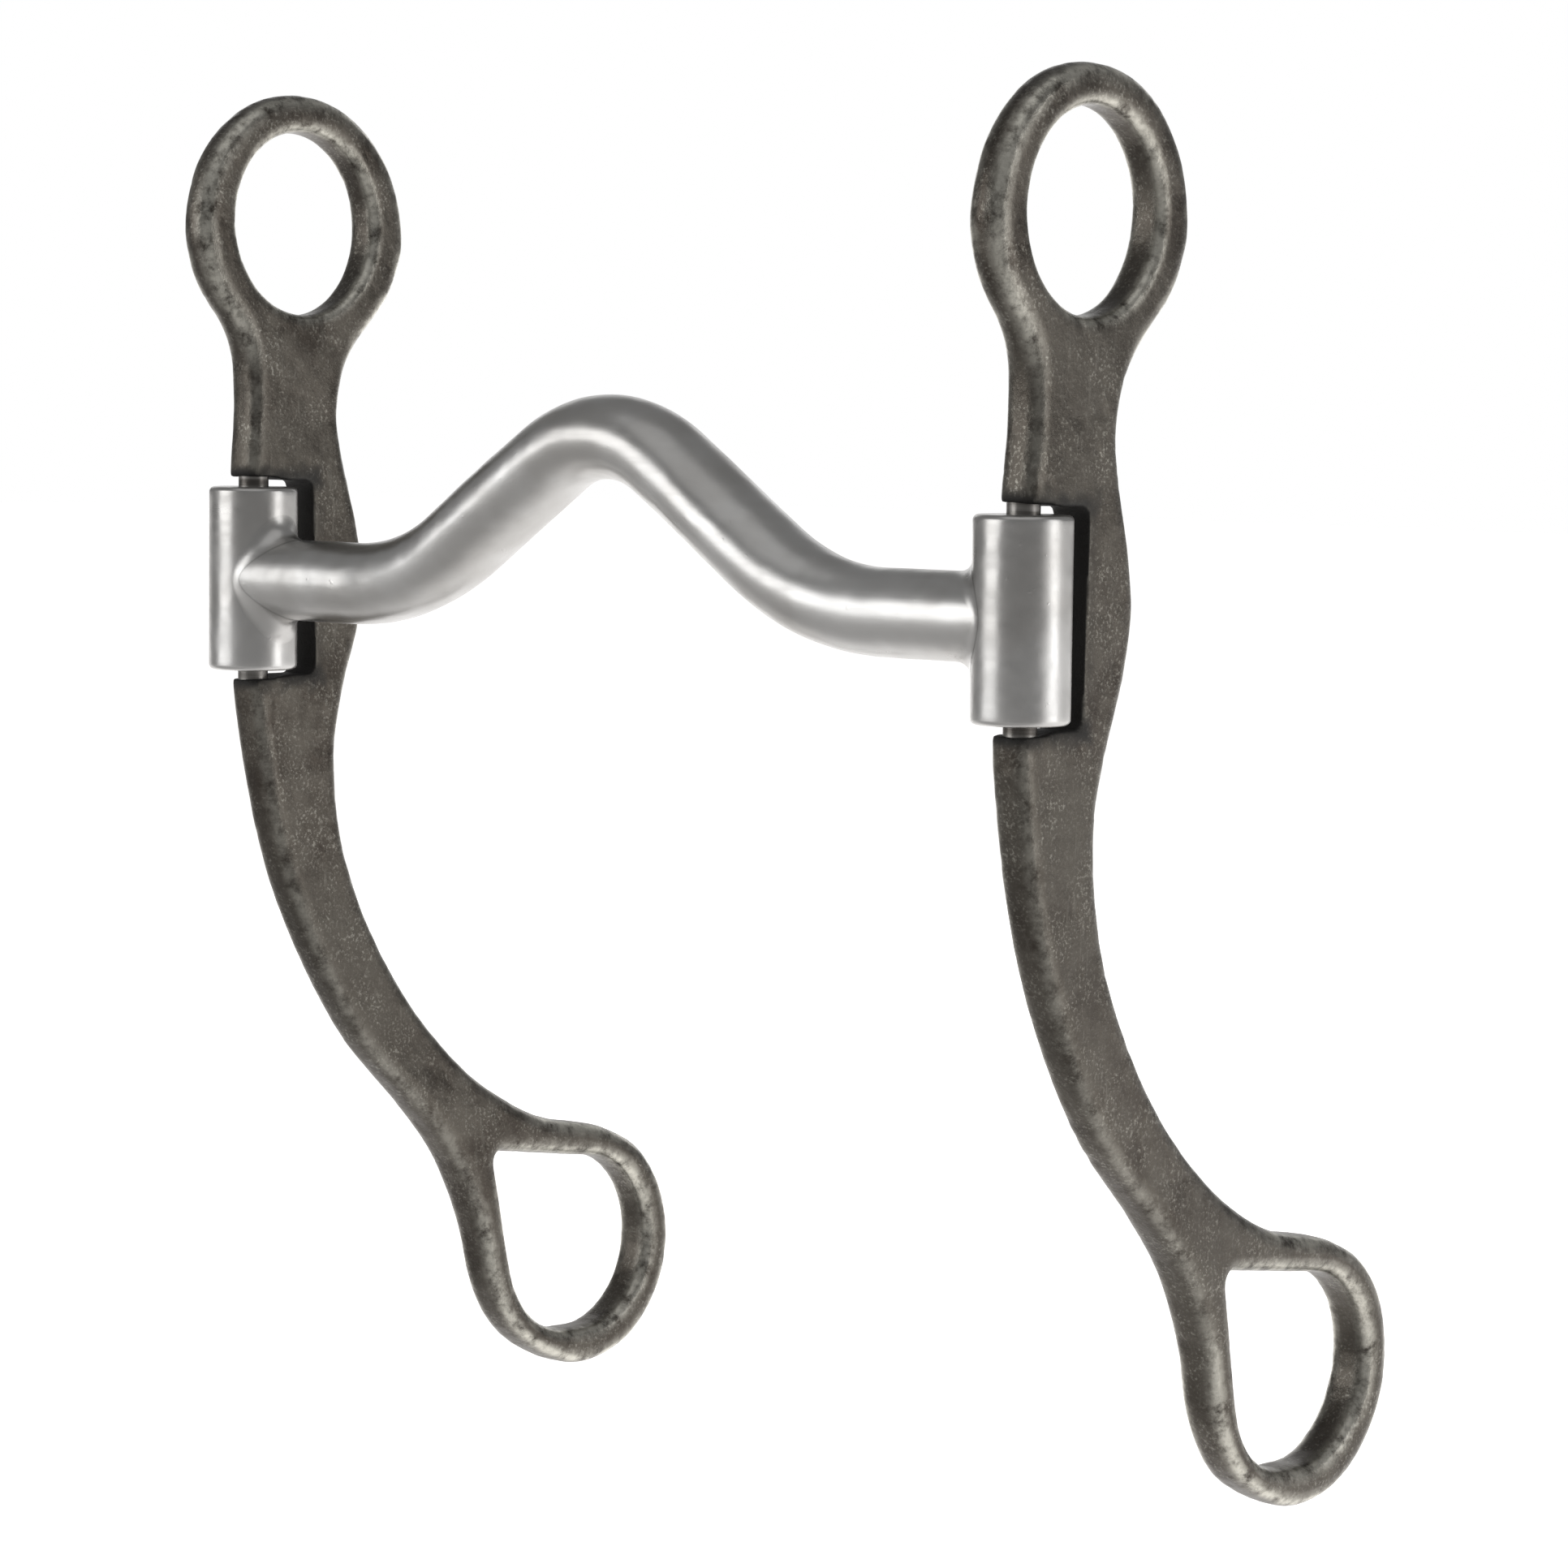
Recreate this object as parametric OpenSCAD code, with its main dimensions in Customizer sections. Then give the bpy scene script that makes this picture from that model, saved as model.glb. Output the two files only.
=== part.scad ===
// Curb bit: a low-port mouthpiece whose end barrels turn on upright pins in two loose, swept-back cheeks.
// +X runs along the mouthpiece to the right cheek, +Y to the rear, +Z up.
// The origin is the middle of the mouthpiece, level with the middle of the barrels.

/* [Cheeks] */
// Distance between the two hinge axes
hinge_spacing = 132; // [124:1:150]
// Outward lean of each cheek's top in degrees
cheek_lean = 1.4; // [0:0.1:2]
// Thickness of the neck and shank
shank_t = 5.8; // [5.6:0.1:6.4]
// Thickness of the headstall ring
ring_t = 5.6; // [5.2:0.1:6.4]
// Thickness of the rein eye
eye_t = 6.8; // [6:0.1:7.2]
// Outer radius of the headstall ring
ring_outer_r = 18.7; // [18:0.1:19.5]
// Radius of the bore through the headstall ring
ring_bore_r = 12.1; // [11:0.1:12.3]
// Outer radius of the rein eye
eye_outer_r = 17.2; // [16.8:0.1:18]
// Radius of the round side of the opening in the rein eye
eye_hole_r = 12.3; // [11.5:0.1:12.4]

/* [Hinges] */
// Radius of a hinge pin
pin_r = 2; // [1.8:0.1:2.1]
// Depth that each pin end is let into the cheek
pin_seat = 5; // [3:0.5:8]
// Outer radius of a barrel
barrel_r = 5.9; // [5.5:0.1:6.2]
// Length of a barrel
barrel_len = 24.4; // [22:0.2:24.8]
// Radial running clearance between a barrel and its pin
barrel_fit = 0.06; // [0.02:0.01:0.1]
// Height of the notch in the cheek that a barrel turns in
notch_h = 26; // [25.6:0.2:27]
// Distance from the hinge axis to the back wall of the notch
notch_depth = 8.5; // [8:0.1:9]

/* [Mouthpiece] */
// Radius of the bar beside the barrels
bar_r = 5.35; // [5:0.05:5.6]
// Half thickness of the bar in the port, in the plane of the port
port_half_t = 5.25; // [5:0.05:5.5]
// Half depth of the bar in the port, front to rear
port_half_d = 6.4; // [5.5:0.1:6.8]
// Height of the crown's centreline above the ends of the bar
port_h = 20; // [14:0.5:24]
// Slope of the port's legs in degrees
leg_angle = 34; // [28:1:38]
// Centreline radius of the crown
crown_r = 17.6; // [15:0.2:20]
// Centreline radius of the bends at the foot of the port
foot_r = 34; // [28:1:36]
// Radius of the hollow weld fillet between the bar and a barrel
weld_r = 3.2; // [1.5:0.1:3.5]

/* [Hidden] */

hinge_x = hinge_spacing / 2;

// Colours
cheek_colour = [0.36, 0.34, 0.31];
steel_colour = [0.72, 0.72, 0.73];
pin_colour = [0.45, 0.43, 0.41];

// Radius of the rounded edges along the shank, round the ring and round the rein eye
shank_edge_r = 1.9;
ring_edge_r = 2.4;
eye_edge_r = 2.2;
// Radius of the rounded rims of the bore
ring_rim_r = 1.8;

// Heights between which the shank's thickness and edges change to those of the ring and of the eye
ring_blend = [25, 33];
eye_blend = [-66, -78];

// Cheek outline, in the [rear, up] plane
ring_centre = [8.4, 46];
ring_bore_centre = [8.3, 47.4];
eye_centre = [60.7, -97.5];
// Front edge of neck and shank, from the ring down to the foot of the rein eye
front_edge = [[-9.3, 41.4], [-7.1, 37.2], [-4.1, 33.6], [-2.2, 29.6], [-1.7, 25], [-1.9, 20], [-2.4, 14],
              [-2.5, 0], [-2.4, -14], [-1.6, -20.5], [0.3, -30.5], [3.8, -41.7], [9.5, -53.3],
              [17.2, -64.5], [26.6, -73.7], [33.7, -81.8], [38.5, -91.3], [41.4, -101.6], [46.9, -109.4]];
// Rear edge, from the top of the rein eye back up to the ring
rear_edge = [[60.3, -79.7], [54.6, -78.7], [50, -77.2], [45, -74.8], [37.4, -69.9], [27.6, -60.7],
             [19, -48.4], [14, -36], [12.8, -24.8], [14.5, -15.7], [17.2, -7.9], [18.4, -0.4], [17.6, 6.5],
             [15.6, 13.8], [14.1, 20.9], [15, 26.6], [17.5, 30.7], [20.8, 34.1], [23.9, 37.4],
             [25.9, 41.2]];
edge_steps = 4;
arc_fn = 72;
rim_steps = 3;
rim_over = 1;

// Opening of the rein eye: two close circles, a straight top, a straight front and a tight corner
eye_hole_rear = [60.3, -97];
eye_hole_front = [57.5, -97];
eye_top_normal = 82;
eye_front_normal = 191.5;
eye_corner_r = 1.3;

// Dished ends of the notch, which clear the barrel round the pin
dish_r = 4.6;
dish_depth = 0.6;
notch_corner_r = 1.2;
notch_mouth = 12;

// Edges of the barrels
barrel_edge_r = 0.7;

// Sweep of the mouthpiece
crown_steps = 8;
foot_steps = 10;
bar_sides = 24;
bar_end_x = hinge_x - barrel_r / 2;
leg_top_z = port_h - crown_r * (1 - cos(leg_angle));
leg_foot_z = foot_r * (1 - cos(leg_angle));
leg_len = (leg_top_z - leg_foot_z) / sin(leg_angle);
foot_x = (crown_r + foot_r) * sin(leg_angle) + leg_len * cos(leg_angle);
weld_sections = 32;
weld_steps = 5;

// ---------- helpers ----------

// One point of a Catmull-Rom curve between b and c, with a and d as its neighbours
function curve_point(a, b, c, d, t) =
    0.5 * (2 * b + (c - a) * t + (2 * a - 5 * b + 4 * c - d) * t * t
           + (3 * b - a - 3 * c + d) * t * t * t);

// A closed smooth curve through all points of a list
function closed_curve(pts, steps) =
    let (n = len(pts))
    [for (i = [0 : n - 1])
        for (k = [0 : steps - 1])
            curve_point(pts[(i + n - 1) % n], pts[i], pts[(i + 1) % n], pts[(i + 2) % n], k / steps)];

// Evenly spaced points along an arc, both ends included
function arc(centre, r, from, to, count) =
    [for (i = [0 : count - 1])
        let (a = from + (to - from) * i / (count - 1))
        centre + r * [cos(a), sin(a)]];

// Outward direction at point i of an anticlockwise outline
function outward(pts, i) =
    let (n = len(pts), along = pts[(i + 1) % n] - pts[(i + n - 1) % n])
    [along[1], -along[0]] / norm(along);

// Smooth change from 0 to 1
function ease(t) = t * t * (3 - 2 * t);

// Share from 0 to 1 of the way that z has gone between two heights
function share(z, range) = ease(max(0, min(1, (z - range[0]) / (range[1] - range[0]))));

// One elliptical ring of points: centre, direction of the half thickness, half thickness, half depth
function ring_points(centre, up, half_t, half_d, sides) =
    [for (k = [0 : sides - 1])
        let (a = 360 * k / sides)
        centre + [0, half_d * cos(a), 0] + up * half_t * sin(a)];

// Closed tube through a list of rings that all have the same even number of points, in right-handed
// order about the way along; each end is closed by strips between the ring's two halves
module tube(rings) {
    sides = len(rings[0]);
    count = len(rings);
    points = [for (r = rings) for (p = r) p];
    walls = [for (i = [0 : count - 2]) for (k = [0 : sides - 1])
                 let (n = (k + 1) % sides)
                 [i * sides + k, (i + 1) * sides + k, (i + 1) * sides + n, i * sides + n]];
    end = (count - 1) * sides;
    first_cap = [for (k = [0 : sides / 2 - 2])
                     each [[k, k + 1, sides - 2 - k], [k, sides - 2 - k, sides - 1 - k]]];
    last_cap = [for (f = first_cap) [end + f[2], end + f[1], end + f[0]]];
    polyhedron(points, concat(walls, first_cap, last_cap));
}

// ---------- cheek ----------

// A size that changes along the cheek, from the ring through the shank to the rein eye
function along_cheek(z, ring, shank, eye) =
    shank + (ring - shank) * share(z, ring_blend) + (eye - shank) * share(z, eye_blend);
function half_t(z) = along_cheek(z, ring_t, shank_t, eye_t) / 2;
function edge_r(z) = along_cheek(z, ring_edge_r, shank_edge_r, eye_edge_r);

// One layer of a rounded edge on side s of the plate, from the flat face (turn 0) to the rim (turn 90).
// The outline moves by way times the rounding: -1 draws it in, 1 spreads it.
function edge_layer(outline, s, turn, way) =
    [for (i = [0 : len(outline) - 1])
        let (p = outline[i], r = edge_r(p[1]), q = p + way * r * (1 - sin(turn)) * outward(outline, i))
        [s * (half_t(p[1]) - r * (1 - cos(turn))), q[0], q[1]]];

// All layers through the plate
function plate_layers(outline, way) = concat(
    [for (i = [0 : rim_steps]) edge_layer(outline, -1, 90 * i / rim_steps, way)],
    [for (i = [rim_steps : -1 : 0]) edge_layer(outline, 1, 90 * i / rim_steps, way)]);

// Whole outline, from the top of the ring down the front, round the eye and up the rear
function outer_outline() = closed_curve(
    concat(arc(ring_centre, ring_outer_r, 75, 175, 5),
           front_edge,
           arc(eye_centre, eye_outer_r, -105, 75, 9),
           rear_edge,
           arc(ring_centre, ring_outer_r, 0, 50, 3)),
    edge_steps);

// Centre of the eye's tight corner, which both straight sides touch
function eye_corner() =
    let (n1 = [cos(eye_top_normal), sin(eye_top_normal)],
         n2 = [cos(eye_front_normal), sin(eye_front_normal)],
         a1 = eye_hole_rear * n1 + eye_hole_r - eye_corner_r,
         a2 = eye_hole_front * n2 + eye_hole_r - eye_corner_r,
         det = n1[0] * n2[1] - n1[1] * n2[0])
    [a1 * n2[1] - a2 * n1[1], n1[0] * a2 - n2[0] * a1] / det;

function eye_outline() = concat(
    arc(eye_hole_rear, eye_hole_r, -90, eye_top_normal, 18),
    arc(eye_corner(), eye_corner_r, eye_top_normal, eye_front_normal, 6),
    arc(eye_hole_front, eye_hole_r, eye_front_normal, 262, 8));

// Plate with rounded edges
module cheek_slab() { tube(plate_layers(outer_outline(), -1)); }

// Cutter for the rein eye, flared at both faces
module eye_cutter() {
    layers = plate_layers(eye_outline(), 1);
    past_face = [eye_t, 0, 0];
    tube(concat([[for (p = layers[0]) p - past_face]],
                layers,
                [[for (p = layers[len(layers) - 1]) p + past_face]]));
}

// Cutter for the headstall ring, with a true cylinder between two rounded rims
module ring_cutter() {
    rim_z = ring_t / 2 - ring_rim_r;
    translate([0, ring_bore_centre[0], ring_bore_centre[1]]) rotate([0, 90, 0]) {
        cylinder(h = 2 * ring_t, r = ring_bore_r, center = true, $fn = arc_fn);
        for (s = [0, 1])
            mirror([0, 0, s]) rotate_extrude($fn = arc_fn) difference() {
                translate([ring_bore_r - rim_over, rim_z]) square(ring_rim_r + rim_over);
                translate([ring_bore_r + ring_rim_r, rim_z]) circle(r = ring_rim_r, $fn = 32);
            }
    }
}

// Notch seen from the side, open at the front edge, with rounded inner corners
module notch_outline() {
    inner_h = notch_h - 2 * notch_corner_r;
    translate([-notch_mouth, -notch_h / 2]) square([notch_mouth + notch_depth - notch_corner_r, notch_h]);
    translate([0, -inner_h / 2]) square([notch_depth, inner_h]);
    for (s = [-1, 1])
        translate([notch_depth - notch_corner_r, s * inner_h / 2]) circle(r = notch_corner_r, $fn = 24);
}

// Shallow dish in one end of the notch, concentric with the pin
module notch_dish() {
    ball_r = (dish_r * dish_r + dish_depth * dish_depth) / (2 * dish_depth);
    intersection() {
        translate([0, 0, notch_h / 2 + dish_depth - ball_r]) sphere(r = ball_r, $fn = 96);
        translate([0, 0, notch_h / 2 - dish_depth]) cylinder(h = 3 * dish_depth, r = dish_r, $fn = 48);
    }
}

// Cheek on side s, leaning out at the top, with its notch and pin seats along the upright hinge axis
module cheek(s) {
    color(cheek_colour)
    difference() {
        rotate([0, s * cheek_lean, 0]) difference() {
            cheek_slab();
            eye_cutter();
            ring_cutter();
        }
        rotate([90, 0, 90]) linear_extrude(height = 3 * shank_t, center = true) notch_outline();
        for (end = [0, 1])
            mirror([0, 0, end]) notch_dish();
        cylinder(h = notch_h + 2 * pin_seat, r = pin_r, center = true, $fn = 48);
    }
}

// ---------- hinge ----------

module hinge_pin() {
    color(pin_colour)
    cylinder(h = notch_h + 2 * pin_seat, r = pin_r, center = true, $fn = 48);
}

module barrel() {
    flat_r = barrel_r - barrel_edge_r;
    flat_h = barrel_len / 2 - barrel_edge_r;
    color(steel_colour)
    difference() {
        rotate_extrude($fn = 96) {
            translate([0, -barrel_len / 2]) square([flat_r, barrel_len]);
            translate([0, -flat_h]) square([barrel_r, 2 * flat_h]);
            for (s = [-1, 1])
                translate([flat_r, s * flat_h]) circle(r = barrel_edge_r, $fn = 32);
        }
        cylinder(h = 2 * barrel_len, r = pin_r + barrel_fit, center = true, $fn = 48);
    }
}

// ---------- mouthpiece ----------

// Ring of the swept bar where the centreline slopes by a, on the side given by s
function bar_ring(s, x, z, a, w) =
    ring_points([s * x, 0, z], [s * sin(a), 0, cos(a)],
                bar_r + (port_half_t - bar_r) * w, bar_r + (port_half_d - bar_r) * w, bar_sides);

// Rings from the crown out to the end of the bar, without the crown's top ring
function half_bar(s) = concat(
    [for (i = [1 : crown_steps])
        let (a = leg_angle * i / crown_steps)
        bar_ring(s, crown_r * sin(a), port_h - crown_r * (1 - cos(a)), a, 1)],
    [for (i = [0 : foot_steps])
        let (a = leg_angle * (1 - i / foot_steps))
        bar_ring(s, foot_x - foot_r * sin(a), foot_r * (1 - cos(a)), a, 1 - ease(i / foot_steps))],
    [bar_ring(s, bar_end_x, 0, 0, 0)]);

function reversed(list) = [for (i = [len(list) - 1 : -1 : 0]) list[i]];

module port_bar() {
    color(steel_colour)
    difference() {
        tube(concat(reversed(half_bar(-1)), [bar_ring(1, 0, port_h, 0, 1)], half_bar(1)));
        for (s = [-1, 1])
            translate([s * hinge_x, 0, 0])
                cylinder(h = 2 * barrel_len, r = barrel_r, center = true, $fn = 96);
    }
}

// One section of the weld fillet, at angle a round the bar: the path of a ball that rolls between
// the bar and the barrel, closed by the corner where they meet. X is measured from the barrel's axis.
function weld_section(a) =
    let (ball_y = (bar_r + weld_r) * cos(a),
         ball_x = -sqrt((barrel_r + weld_r) ^ 2 - ball_y ^ 2),
         ball = [ball_x, ball_y, (bar_r + weld_r) * sin(a)],
         to_bar = [0, -cos(a), -sin(a)],
         to_barrel = [-ball_x, -ball_y, 0] / (barrel_r + weld_r),
         turn = acos(to_bar * to_barrel))
    concat(
        [[-sqrt(barrel_r ^ 2 - (bar_r * cos(a)) ^ 2), bar_r * cos(a), bar_r * sin(a)]],
        [for (i = [0 : weld_steps])
            let (t = i / weld_steps)
            ball + weld_r * (to_bar * sin(turn * (1 - t)) + to_barrel * sin(turn * t)) / sin(turn)]);

// Weld fillet at the right barrel, a ring of sections round the bar
module weld() {
    n = weld_steps + 2;
    points = [for (k = [0 : weld_sections - 1]) for (p = weld_section(360 * k / weld_sections)) p];
    walls = [for (k = [0 : weld_sections - 1]) for (i = [0 : n - 1])
                 let (next = (k + 1) % weld_sections, j = (i + 1) % n)
                 [k * n + i, k * n + j, next * n + j, next * n + i]];
    color(steel_colour) polyhedron(points, walls);
}

module left_barrel() { translate([-hinge_x, 0, 0]) barrel(); }
module right_barrel() { translate([hinge_x, 0, 0]) barrel(); }
module left_weld() { translate([-hinge_x, 0, 0]) mirror([1, 0, 0]) weld(); }
module right_weld() { translate([hinge_x, 0, 0]) weld(); }
module left_hinge_pin() { translate([-hinge_x, 0, 0]) hinge_pin(); }
module right_hinge_pin() { translate([hinge_x, 0, 0]) hinge_pin(); }
module left_cheek() { translate([-hinge_x, 0, 0]) cheek(-1); }
module right_cheek() { translate([hinge_x, 0, 0]) cheek(1); }

port_bar();
left_barrel();
right_barrel();
left_weld();
right_weld();
left_hinge_pin();
right_hinge_pin();
left_cheek();
right_cheek();
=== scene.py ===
"""Curb bit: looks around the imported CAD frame.

+X runs along the mouthpiece to the right cheek, +Y to the rear, +Z up. Everything is in metres.
"""

import math

import bmesh
import bpy
import numpy as np
from mathutils import Matrix, Vector, noise


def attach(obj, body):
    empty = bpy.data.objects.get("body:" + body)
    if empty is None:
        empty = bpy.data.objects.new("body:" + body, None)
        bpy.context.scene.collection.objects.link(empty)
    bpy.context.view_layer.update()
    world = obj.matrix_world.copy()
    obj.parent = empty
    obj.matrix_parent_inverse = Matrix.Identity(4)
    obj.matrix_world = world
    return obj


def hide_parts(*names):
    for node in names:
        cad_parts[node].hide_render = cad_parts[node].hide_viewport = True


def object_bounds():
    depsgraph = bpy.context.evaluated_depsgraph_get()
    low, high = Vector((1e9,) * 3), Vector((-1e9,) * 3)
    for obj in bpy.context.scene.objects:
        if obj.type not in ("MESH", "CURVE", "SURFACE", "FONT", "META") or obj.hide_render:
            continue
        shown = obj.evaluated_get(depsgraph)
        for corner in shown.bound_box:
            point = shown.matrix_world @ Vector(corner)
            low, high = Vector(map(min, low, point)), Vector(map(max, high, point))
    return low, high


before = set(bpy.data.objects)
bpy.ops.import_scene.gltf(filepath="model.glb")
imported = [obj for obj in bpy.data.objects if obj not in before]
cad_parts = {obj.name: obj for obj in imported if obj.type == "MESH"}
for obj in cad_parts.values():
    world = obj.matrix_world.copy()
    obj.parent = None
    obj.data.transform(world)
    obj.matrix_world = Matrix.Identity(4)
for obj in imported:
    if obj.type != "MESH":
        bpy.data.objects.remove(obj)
cad_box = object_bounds()

MM = 0.001

# ---------- sizes, as in the CAD model ----------

HINGE_X = 66 * MM
# A hair under the CAD's 5.9 mm, so that this finer mesh stays inside the CAD's facets
BARREL_R = 5.89 * MM
BARREL_LEN = 24.4 * MM
BARREL_EDGE_R = 0.7 * MM
BARREL_BORE_R = 2.06 * MM
PIN_R = 2.0 * MM
PIN_HALF = 18 * MM
BAR_R = 5.35 * MM
BAR_END_X = HINGE_X - 2.3 * MM
PORT_HALF_T = 5.25 * MM
PORT_HALF_D = 6.4 * MM
PORT_H = 20 * MM
LEG_ANGLE = math.radians(34)
CROWN_R = 17.6 * MM
FOOT_R = 34 * MM
WELD_R = 3.2 * MM
LEAN = math.radians(1.4)
EYE_CENTRE = (60.7 * MM, -97.5 * MM)
NOTCH_HALF = 13 * MM
NOTCH_DEPTH = 8.5 * MM
DISH_TOP = 13.6 * MM

# ---------- fineness of the remeshed cheeks, and the stage ----------

VOXEL = 0.34 * MM
SMOOTH_STEPS = 8
FLOOR_HALF = 6
FLOOR_DROP = 85 * MM
WORLD_FILL = 0.24

# ---------- small helpers ----------


def smoothstep(low, high, value):
    t = np.clip((value - low) / (high - low), 0, 1)
    return t * t * (3 - 2 * t)


def noise_at(points, scale, seed):
    """Perlin noise at each point, from about -1 to 1."""
    shift = Vector((seed * 7.31, seed * 3.17, seed * 5.53))
    return np.array([noise.noise(Vector(p) * scale + shift) for p in points])


def new_object(name, vertices, faces):
    mesh = bpy.data.meshes.new(name)
    mesh.from_pydata([tuple(v) for v in vertices], [], faces)
    mesh.validate()
    mesh.update()
    obj = bpy.data.objects.new(name, mesh)
    bpy.context.scene.collection.objects.link(obj)
    mesh.shade_smooth()
    mesh.set_sharp_from_angle(angle=math.radians(40))
    return obj


def coordinates(mesh):
    co = np.empty(len(mesh.vertices) * 3)
    mesh.vertices.foreach_get("co", co)
    return co.reshape(-1, 3)


def normals(mesh):
    no = np.empty(len(mesh.vertices) * 3)
    mesh.vertices.foreach_get("normal", no)
    return no.reshape(-1, 3)


def set_coordinates(mesh, co):
    mesh.vertices.foreach_set("co", co.ravel())
    mesh.update()


def set_attribute(mesh, name, values):
    attribute = mesh.attributes.new(name, "FLOAT", "POINT")
    attribute.data.foreach_set("value", np.asarray(values, np.float32))


def wall_faces(rows, columns, wrap_rows=False):
    """Quads between rows of points, where each row is a closed loop."""
    faces = []
    for i in range(rows if wrap_rows else rows - 1):
        a = i * columns
        b = ((i + 1) % rows) * columns
        for k in range(columns):
            n = (k + 1) % columns
            faces.append((a + k, a + n, b + n, b + k))
    return faces


# ---------- materials ----------


class Nodes:
    """A material's node tree, with a short way to add and join nodes."""

    def __init__(self, name):
        self.material = bpy.data.materials.new(name)
        self.material.use_nodes = True
        self.tree = self.material.node_tree
        self.tree.nodes.clear()
        self.output = self.add("ShaderNodeOutputMaterial")

    def add(self, kind, settings=(), **inputs):
        node = self.tree.nodes.new(kind)
        for key, value in dict(settings).items():
            setattr(node, key, value)
        for key, value in inputs.items():
            self.set(node, key.replace("_", " "), value)
        return node

    def set(self, node, key, value):
        socket = node.inputs[int(key)] if key.isdigit() else node.inputs[key]
        if isinstance(value, bpy.types.NodeSocket):
            self.tree.links.new(value, socket)
        else:
            socket.default_value = value

    def position(self, stretch=(1, 1, 1), turn=(0, 0, 0)):
        coordinate = self.add("ShaderNodeTexCoord")
        mapping = self.add("ShaderNodeMapping", Vector=coordinate.outputs["Object"], Rotation=turn,
                           Scale=stretch)
        return mapping.outputs["Vector"]

    def attribute(self, name):
        return self.add("ShaderNodeAttribute", {"attribute_name": name}).outputs["Fac"]

    def noise(self, scale, detail=4.0, roughness=0.55, stretch=(1, 1, 1), turn=(0, 0, 0)):
        node = self.add("ShaderNodeTexNoise", Vector=self.position(stretch, turn), Scale=scale,
                        Detail=detail, Roughness=roughness)
        return node.outputs["Fac"]

    def math(self, operation, a, b=0.0, clamp=False):
        node = self.add("ShaderNodeMath", {"operation": operation, "use_clamp": clamp})
        self.set(node, "0", a)
        self.set(node, "1", b)
        return node.outputs[0]

    def spread(self, value, low, high, to_low=0.0, to_high=1.0):
        node = self.add("ShaderNodeMapRange", {"interpolation_type": "SMOOTHSTEP"}, Value=value)
        for key, number in (("1", low), ("2", high), ("3", to_low), ("4", to_high)):
            self.set(node, key, number)
        return node.outputs[0]

    def mix(self, factor, a, b):
        node = self.add("ShaderNodeMix", {"data_type": "RGBA"})
        self.set(node, "0", factor)
        self.set(node, "6", a)
        self.set(node, "7", b)
        return node.outputs[2]

    def bump(self, height, strength, distance, below=None):
        node = self.add("ShaderNodeBump", Height=height, Strength=strength, Distance=distance)
        if below is not None:
            self.set(node, "Normal", below)
        return node.outputs["Normal"]

    def finish(self, **inputs):
        shader = self.add("ShaderNodeBsdfPrincipled")
        for key, value in inputs.items():
            self.set(shader, key.replace("_", " "), value)
        self.tree.links.new(shader.outputs[0], self.output.inputs["Surface"])
        return self.material


def antiqued_steel():
    """Dark browned steel, flecked where the dip has been rubbed through, bright on the worn rims."""
    n = Nodes("antiqued_steel")
    rim = n.attribute("rim")
    # Mask for near-black: painted shade on the notch walls around the barrel, together with the real soot
    # stain around the notch ends
    soot_and_notch_shade = n.attribute("soot_and_notch_shade")
    mottle = n.noise(95, detail=7, roughness=0.68)
    cloud = n.noise(30, detail=3)
    fleck = n.noise(2400, detail=4, roughness=0.62)
    grain = n.noise(4200, detail=2, roughness=0.8)
    line_a = n.noise(800, detail=3, turn=(0.6, 0, 0), stretch=(1, 1, 0.12))
    line_b = n.noise(800, detail=3, turn=(-0.9, 0, 0), stretch=(1, 1, 0.12))
    base = n.mix(n.spread(mottle, 0.36, 0.64), (0.058, 0.049, 0.041, 1), (0.118, 0.106, 0.090, 1))
    base = n.mix(n.spread(cloud, 0.4, 0.62, 0, 0.5), base, (0.092, 0.084, 0.072, 1))
    pale = n.mix(n.spread(mottle, 0.3, 0.7), (0.28, 0.265, 0.23, 1), (0.43, 0.415, 0.37, 1))
    patchy = n.spread(n.noise(210, detail=4), 0.40, 0.62, 0.25, 1.0)
    flecks = n.math("MULTIPLY", n.spread(fleck, 0.50, 0.70), patchy)
    hairs = n.math("MAXIMUM", n.spread(line_a, 0.64, 0.74), n.spread(line_b, 0.64, 0.74))
    flecks = n.math("MAXIMUM", flecks, n.math("MULTIPLY", hairs, 0.2))
    base = n.mix(n.math("MULTIPLY", flecks, 0.6), base, pale)
    rub = n.math("MULTIPLY", rim, n.spread(n.noise(380, detail=7, roughness=0.72), 0.30, 0.62))
    base = n.mix(rub, base, (0.66, 0.64, 0.57, 1))
    # Near-black over the notch: partly painted shade in the recess, partly the real soot stain; the same
    # mask roughens it and lowers metallic below
    base = n.mix(soot_and_notch_shade, base, (0.010, 0.009, 0.008, 1))
    rough = n.spread(mottle, 0.3, 0.7, 0.30, 0.44)
    rough = n.math("SUBTRACT", rough, n.math("MULTIPLY", rub, 0.08))
    rough = n.math("ADD", rough, n.math("MULTIPLY", soot_and_notch_shade, 0.35))
    metal = n.math("SUBTRACT", 0.95, n.math("MULTIPLY", soot_and_notch_shade, 0.85))
    normal = n.bump(grain, 0.20, 0.00006)
    normal = n.bump(fleck, 0.30, 0.00012, normal)
    normal = n.bump(hairs, 0.12, 0.00006, normal)
    normal = n.bump(mottle, 0.40, 0.0005, normal)
    return n.finish(Base_Color=base, Metallic=metal, Roughness=rough, Normal=normal)


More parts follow.
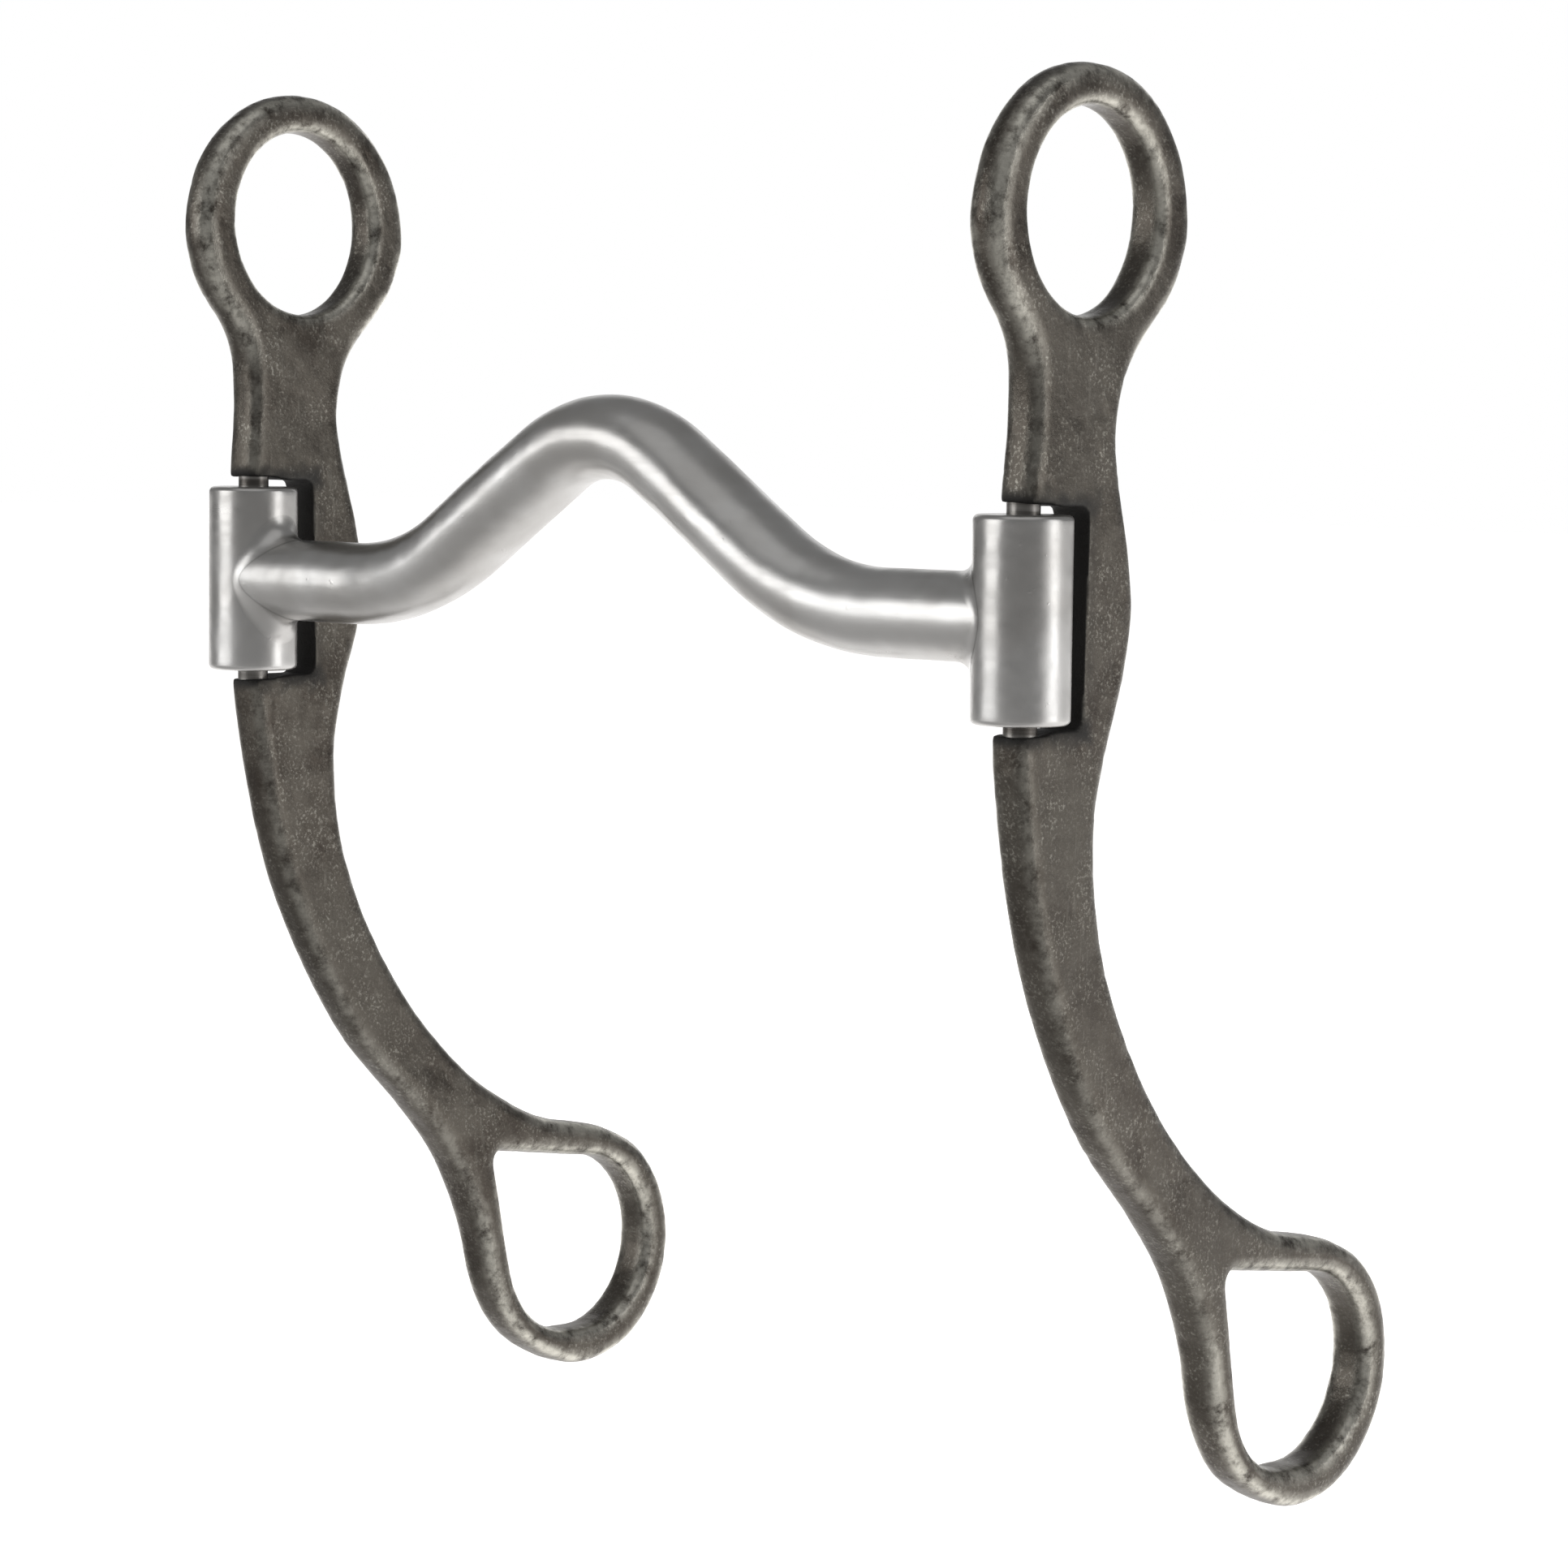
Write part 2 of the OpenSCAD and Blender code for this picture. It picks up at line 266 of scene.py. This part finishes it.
def polished_steel():
    """Stainless steel ground by hand and buffed: satin, with grinding lines and a slight waviness."""
    n = Nodes("polished_steel")
    tint = n.spread(n.noise(70, detail=3), 0.35, 0.65)
    base = n.mix(tint, (0.50, 0.49, 0.475, 1), (0.60, 0.595, 0.585, 1))
    smear = n.noise(150, detail=5, roughness=0.6, stretch=(0.4, 1, 1))
    lines = n.noise(1100, detail=4, roughness=0.7, stretch=(0.05, 1, 1))
    nick = n.spread(n.noise(700, detail=2), 0.70, 0.76)
    rough = n.spread(smear, 0.3, 0.7, 0.27, 0.36)
    rough = n.math("ADD", rough, n.math("MULTIPLY", n.spread(lines, 0.4, 0.7), 0.05))
    normal = n.bump(lines, 0.12, 0.00005)
    normal = n.bump(nick, 0.25, 0.00005, normal)
    normal = n.bump(n.noise(110, detail=2), 0.35, 0.0008, normal)
    return n.finish(Base_Color=base, Metallic=1.0, Roughness=rough, Normal=normal)


def pin_steel():
    """Plain steel, darkened and ringed by wear."""
    n = Nodes("pin_steel")
    rings = n.noise(900, detail=3, stretch=(0.05, 0.05, 1))
    base = n.mix(n.spread(rings, 0.35, 0.65), (0.10, 0.092, 0.084, 1), (0.30, 0.29, 0.275, 1))
    rough = n.spread(n.noise(700), 0.3, 0.7, 0.28, 0.5)
    return n.finish(Base_Color=base, Metallic=1.0, Roughness=rough, Normal=n.bump(rings, 0.3, 0.0001))


def pale_floor_painted_glow():
    """Pale sheet that glows as painted light, not a lamp: bright behind the bit and darker in front of it.
    """
    n = Nodes("pale_floor_painted_glow")
    split = n.add("ShaderNodeSeparateXYZ", Vector=n.position())
    # Painted glow: emission strength rises from front to back along Y, a painted light gradient across the
    # floor
    painted_glow = n.spread(split.outputs["Y"], -0.11, 0.12, 0.04, 0.90)
    tone = n.mix(n.noise(3), (0.86, 0.85, 0.84, 1), (0.88, 0.87, 0.86, 1))
    return n.finish(Base_Color=tone, Roughness=0.9, Emission_Color=(1.0, 0.985, 0.975, 1),
                    Emission_Strength=painted_glow)


# ---------- mouthpiece ----------


def bar_centreline():
    """Right half of the bar: (x, z, slope, share of port section), from the crown outwards."""
    rise = 1 - math.cos(LEG_ANGLE)
    leg_len = (PORT_H - (CROWN_R + FOOT_R) * rise) / math.sin(LEG_ANGLE)
    foot_x = (CROWN_R + FOOT_R) * math.sin(LEG_ANGLE) + leg_len * math.cos(LEG_ANGLE)
    half = []
    for a in np.linspace(0, LEG_ANGLE, 40):
        half.append((CROWN_R * math.sin(a), PORT_H - CROWN_R * (1 - math.cos(a)), a, 1.0))
    x0, z0 = half[-1][:2]
    for t in np.linspace(0, 1, 26)[1:]:
        along = t * leg_len
        half.append((x0 + along * math.cos(LEG_ANGLE), z0 - along * math.sin(LEG_ANGLE), LEG_ANGLE, 1.0))
    for t in np.linspace(0, 1, 50)[1:]:
        a = LEG_ANGLE * (1 - t)
        half.append((foot_x - FOOT_R * math.sin(a), FOOT_R * (1 - math.cos(a)), a, 1 - smoothstep(0, 1, t)))
    for x in np.linspace(foot_x, BAR_END_X, 24)[1:]:
        half.append((x, 0.0, 0.0, 0.0))
    return half


def port_bar():
    sides = 96
    half = bar_centreline()
    path = [(-x, z, -a, w) for x, z, a, w in reversed(half[1:])] + half
    turn = np.linspace(0, 2 * math.pi, sides, endpoint=False)
    vertices = []
    for x, z, a, w in path:
        half_t = BAR_R + (PORT_HALF_T - BAR_R) * w
        half_d = BAR_R + (PORT_HALF_D - BAR_R) * w
        up = np.array([math.sin(a), 0, math.cos(a)])
        side = np.array([0, 1, 0])
        for b in turn:
            vertices.append(np.array([x, 0, z]) + side * half_d * math.cos(b) + up * half_t * math.sin(b))
    faces = wall_faces(len(path), sides)
    faces.append(tuple(reversed(range(sides))))
    faces.append(tuple(range((len(path) - 1) * sides, len(path) * sides)))
    bar = new_object("port_bar_polished", vertices, faces)
    co = coordinates(bar.data)
    free = 1 - smoothstep(46 * MM, 54 * MM, np.abs(co[:, 0]))
    wave = (noise_at(co, 90, 1) * 0.12 + noise_at(co, 240, 2) * 0.04) * MM * free
    set_coordinates(bar.data, co + normals(bar.data) * wave[:, None])
    return bar


def weld_fillet(name, side):
    """The surface of a ball rolled between bar and barrel, closed by the corner where they meet."""
    sections = 128
    steps = 14
    sink = 0.25 * MM
    proud = 0.02 * MM
    bar_r = BAR_R + proud
    barrel_r = BARREL_R + proud
    vertices = []
    for k in range(sections):
        a = 2 * math.pi * k / sections
        ball_y = (bar_r + WELD_R) * math.cos(a)
        ball_z = (bar_r + WELD_R) * math.sin(a)
        ball_x = -math.sqrt((barrel_r + WELD_R) ** 2 - ball_y ** 2)
        ball = np.array([ball_x, ball_y, ball_z])
        to_bar = np.array([0, -math.cos(a), -math.sin(a)])
        to_barrel = np.array([-ball_x, -ball_y, 0]) / (barrel_r + WELD_R)
        turn = math.acos(np.dot(to_bar, to_barrel))
        row = []
        for i in range(steps + 1):
            t = i / steps
            row.append(ball + WELD_R * (to_bar * math.sin(turn * (1 - t)) + to_barrel * math.sin(turn * t))
                       / math.sin(turn))
        inner_x = -math.sqrt(BARREL_R ** 2 - (BAR_R * math.cos(a)) ** 2)
        corner = np.array([inner_x + sink, BAR_R * math.cos(a), BAR_R * math.sin(a)])
        corner[1:] *= 1 - sink / BAR_R
        vertices += row + [corner]
    place = np.array([HINGE_X, 0, 0])
    vertices = [(v + place) * np.array([side, 1, 1]) for v in vertices]
    columns = steps + 2
    faces = wall_faces(sections, columns, wrap_rows=True)
    if side < 0:
        faces = [tuple(reversed(f)) for f in faces]
    return new_object(name, vertices, faces)


def lathe(name, profile, centre_x, sides=128):
    """A closed profile of (radius, z) points turned about the hinge axis at centre_x."""
    vertices = []
    for a in np.linspace(0, 2 * math.pi, sides, endpoint=False):
        for r, z in profile:
            vertices.append((centre_x + r * math.cos(a), r * math.sin(a), z))
    faces = wall_faces(sides, len(profile), wrap_rows=True)
    return new_object(name, vertices, [tuple(reversed(f)) for f in faces])


def rounded_corner(r, z, radius, start, count=9):
    """Quarter circle of profile points about (r, z)."""
    return [(r + radius * math.cos(a), z + radius * math.sin(a))
            for a in np.linspace(start, start + math.pi / 2, count)]


def barrel(name, side):
    half = BARREL_LEN / 2
    flat = BARREL_R - BARREL_EDGE_R
    bore_edge = 0.3 * MM
    profile = rounded_corner(flat, half - BARREL_EDGE_R, BARREL_EDGE_R, 0)
    profile += rounded_corner(BARREL_BORE_R + bore_edge, half - bore_edge, bore_edge, math.pi / 2)
    profile += [(BARREL_BORE_R, z) for z in np.linspace(half - 2 * bore_edge, -half + 2 * bore_edge, 12)]
    profile += rounded_corner(BARREL_BORE_R + bore_edge, bore_edge - half, bore_edge, math.pi)
    profile += rounded_corner(flat, BARREL_EDGE_R - half, BARREL_EDGE_R, 1.5 * math.pi)
    profile += [(BARREL_R, z) for z in np.linspace(1.2 * MM - half, half - 1.2 * MM, 40)]
    return lathe(name, profile, side * HINGE_X)


def hinge_pin(name, side):
    edge = 0.25 * MM
    profile = rounded_corner(PIN_R - edge, PIN_HALF - edge, edge, 0, 5)
    profile += [(PIN_R * k / 8, PIN_HALF) for k in range(6, 0, -1)]
    profile += [(PIN_R * k / 8, -PIN_HALF) for k in range(1, 7)]
    profile += rounded_corner(PIN_R - edge, edge - PIN_HALF, edge, 1.5 * math.pi, 5)
    profile += [(PIN_R, z) for z in np.linspace(edge * 2 - PIN_HALF, PIN_HALF - edge * 2, 60)]
    return lathe(name, profile, side * HINGE_X, 64)


# ---------- cheeks ----------


def plugged_mesh(source, side):
    """A copy of a CAD cheek's mesh with its pin seats filled, as the pin fills them."""
    mesh = source.data.copy()
    shape = bmesh.new()
    shape.from_mesh(mesh)
    for end in (-1, 1):
        low, high = sorted((end * (DISH_TOP + 0.1 * MM), end * (PIN_HALF + 0.3 * MM)))
        middle = Matrix.Translation((side * HINGE_X, 0, (low + high) / 2))
        bmesh.ops.create_cone(shape, cap_ends=True, segments=48, radius1=PIN_R + 0.1 * MM,
                              radius2=PIN_R + 0.1 * MM, depth=high - low, matrix=middle)
    shape.to_mesh(mesh)
    shape.free()
    return mesh


def cheek(name, node, side):
    """A finely remeshed copy of the CAD cheek, with forged and hand-filed unevenness."""
    obj = bpy.data.objects.new(name, plugged_mesh(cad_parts[node], side))
    bpy.context.scene.collection.objects.link(obj)
    remesh = obj.modifiers.new("fine", "REMESH")
    remesh.mode = "VOXEL"
    remesh.voxel_size = VOXEL
    smooth = obj.modifiers.new("smooth", "SMOOTH")
    smooth.iterations = SMOOTH_STEPS
    smooth.factor = 0.5
    bpy.context.view_layer.update()
    fine = bpy.data.meshes.new_from_object(obj.evaluated_get(bpy.context.evaluated_depsgraph_get()))
    obj.modifiers.clear()
    obj.data = fine
    fine.materials.clear()
    fine.shade_smooth()

    co = coordinates(fine)
    no = normals(fine)
    y, z = co[:, 1], co[:, 2]
    seed = 20 + side
    wave = noise_at(co, 110, seed) * 0.10 + noise_at(co, 420, seed + 3) * 0.04
    pits = np.minimum(noise_at(co, 800, seed + 5) + 0.30, 0) * 0.10
    dents = np.minimum(noise_at(co, 260, seed + 8) + 0.42, 0) * 0.25
    set_coordinates(fine, co + no * ((wave + pits + dents - 0.06) * MM)[:, None])

    across = (no[:, 0] * math.cos(LEAN) - side * no[:, 2] * math.sin(LEAN)) ** 2
    rim = np.clip(4 * across * (1 - across), 0, 1)
    near_ring = smoothstep(27 * MM, 34 * MM, z)
    near_eye = 1 - smoothstep(20 * MM, 25 * MM, np.hypot(y - EYE_CENTRE[0], z - EYE_CENTRE[1]))
    zone = 0.35 + 0.65 * np.maximum(near_ring, near_eye)
    set_attribute(fine, "rim", rim * zone)

    beyond = np.maximum(np.maximum(np.abs(z) - NOTCH_HALF, y - NOTCH_DEPTH), 0)
    inside_notch = 1 - smoothstep(0.55, 0.9, across)
    # Painted shade: the notch walls in the deep recess around the barrel are masked to go near-black, with a
    # little real residue
    notch_shade_and_residue = inside_notch * (1 - smoothstep(0.8 * MM, 2.4 * MM, beyond))
    above = smoothstep(NOTCH_HALF - 2 * MM, NOTCH_HALF, np.abs(z))
    ragged = beyond + 0.9 * MM * noise_at(co, 600, seed + 9)
    stain = (0.25 + 0.6 * above) * (1 - smoothstep(0, 2.6 * MM, ragged))
    # This attribute joins the painted notch shade and the real soot stain around the notch ends
    set_attribute(fine, "soot_and_notch_shade", np.clip(np.maximum(notch_shade_and_residue, stain), 0, 1))
    return obj


# ---------- build ----------

steel = polished_steel()
dark = antiqued_steel()
plain = pin_steel()


def place(obj, body, material_slot, material, *nodes):
    obj.data.materials.append(material)
    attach(obj, body)
    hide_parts(*nodes)


place(port_bar(), "mouthpiece", "mouthpiece_steel", steel, "port_bar")
for side, word in ((-1, "left"), (1, "right")):
    place(barrel(word + "_barrel_polished", side), "mouthpiece", "mouthpiece_steel", steel, word + "_barrel")
    place(weld_fillet(word + "_weld_ground", side), "mouthpiece", "mouthpiece_steel", steel, word + "_weld")
    place(hinge_pin(word + "_pin_worn", side), word + "_cheek_body", "pin_steel", plain, word + "_hinge_pin")
    place(cheek(word + "_cheek_forged", word + "_cheek", side), word + "_cheek_body", "cheek_steel", dark,
          word + "_cheek")

# ---------- stage ----------


def floor_sheet():
    z = cad_box[0][2] - FLOOR_DROP
    corners = [(x * FLOOR_HALF, y * FLOOR_HALF, z) for x, y in ((-1, -1), (1, -1), (1, 1), (-1, 1))]
    return new_object("floor", corners, [(0, 1, 2, 3)])


floor = floor_sheet()
floor.data.materials.append(pale_floor_painted_glow())


def softbox(name, azimuth, elevation, distance, width, height, radiance):
    """A soft light aimed at the bit from an azimuth from +X and an elevation, with an even radiance."""
    a, e = math.radians(azimuth), math.radians(elevation)
    spot = Vector((math.cos(a) * math.cos(e), math.sin(a) * math.cos(e), math.sin(e))) * distance
    data = bpy.data.lights.new(name, "AREA")
    data.shape = "RECTANGLE"
    data.size = width
    data.size_y = height
    data.energy = radiance * math.pi * width * height
    obj = bpy.data.objects.new(name, data)
    obj.location = spot
    obj.rotation_euler = (-spot).to_track_quat("-Z", "Y").to_euler()
    bpy.context.scene.collection.objects.link(obj)


softbox("key", -124, 10, 1.2, 0.80, 0.66, 2.2)
softbox("side", 26, 8, 1.2, 0.45, 0.9, 1.9)
softbox("backdrop", 128, 4, 1.5, 1.5, 1.2, 0.9)
softbox("overhead", -60, 70, 1.3, 1.5, 1.2, 0.35)


def studio_world():
    """White where the camera sees it, and a dimmer fill light for everything else."""
    world = bpy.data.worlds.new("studio")
    bpy.context.scene.world = world
    world.use_nodes = True
    tree = world.node_tree
    tree.nodes.clear()
    output = tree.nodes.new("ShaderNodeOutputWorld")
    background = tree.nodes.new("ShaderNodeBackground")
    background.inputs["Color"].default_value = (1, 1, 1, 1)
    rays = tree.nodes.new("ShaderNodeLightPath")
    strength = tree.nodes.new("ShaderNodeMapRange")
    strength.inputs["To Min"].default_value = WORLD_FILL
    strength.inputs["To Max"].default_value = 1.0
    tree.links.new(rays.outputs["Is Camera Ray"], strength.inputs["Value"])
    tree.links.new(strength.outputs["Result"], background.inputs["Strength"])
    tree.links.new(background.outputs["Background"], output.inputs["Surface"])


studio_world()

# ---------- camera ----------

AZIMUTH = math.radians(41.55)
ELEVATION = math.radians(4.8)
ROLL = math.radians(0.73)
DISTANCE = 0.5858
AIM = Vector((0.0295, 0.0, -0.0215))
FOCAL = 110.87


def studio_camera():
    back = Vector((math.sin(AZIMUTH) * math.cos(ELEVATION), -math.cos(AZIMUTH) * math.cos(ELEVATION),
                   math.sin(ELEVATION)))
    right = (-back).cross(Vector((0, 0, 1))).normalized()
    up = right.cross(-back)
    rolled_right = math.cos(ROLL) * right + math.sin(ROLL) * up
    rolled_up = math.cos(ROLL) * up - math.sin(ROLL) * right
    data = bpy.data.cameras.new("camera")
    data.lens = FOCAL
    data.sensor_width = 36
    data.clip_start = 0.01
    obj = bpy.data.objects.new("camera", data)
    turn = Matrix((rolled_right, rolled_up, back)).transposed().to_4x4()
    obj.matrix_world = Matrix.Translation(AIM + back * DISTANCE) @ turn
    bpy.context.scene.collection.objects.link(obj)
    bpy.context.scene.camera = obj


studio_camera()
bpy.context.scene.view_settings.view_transform = "Standard"
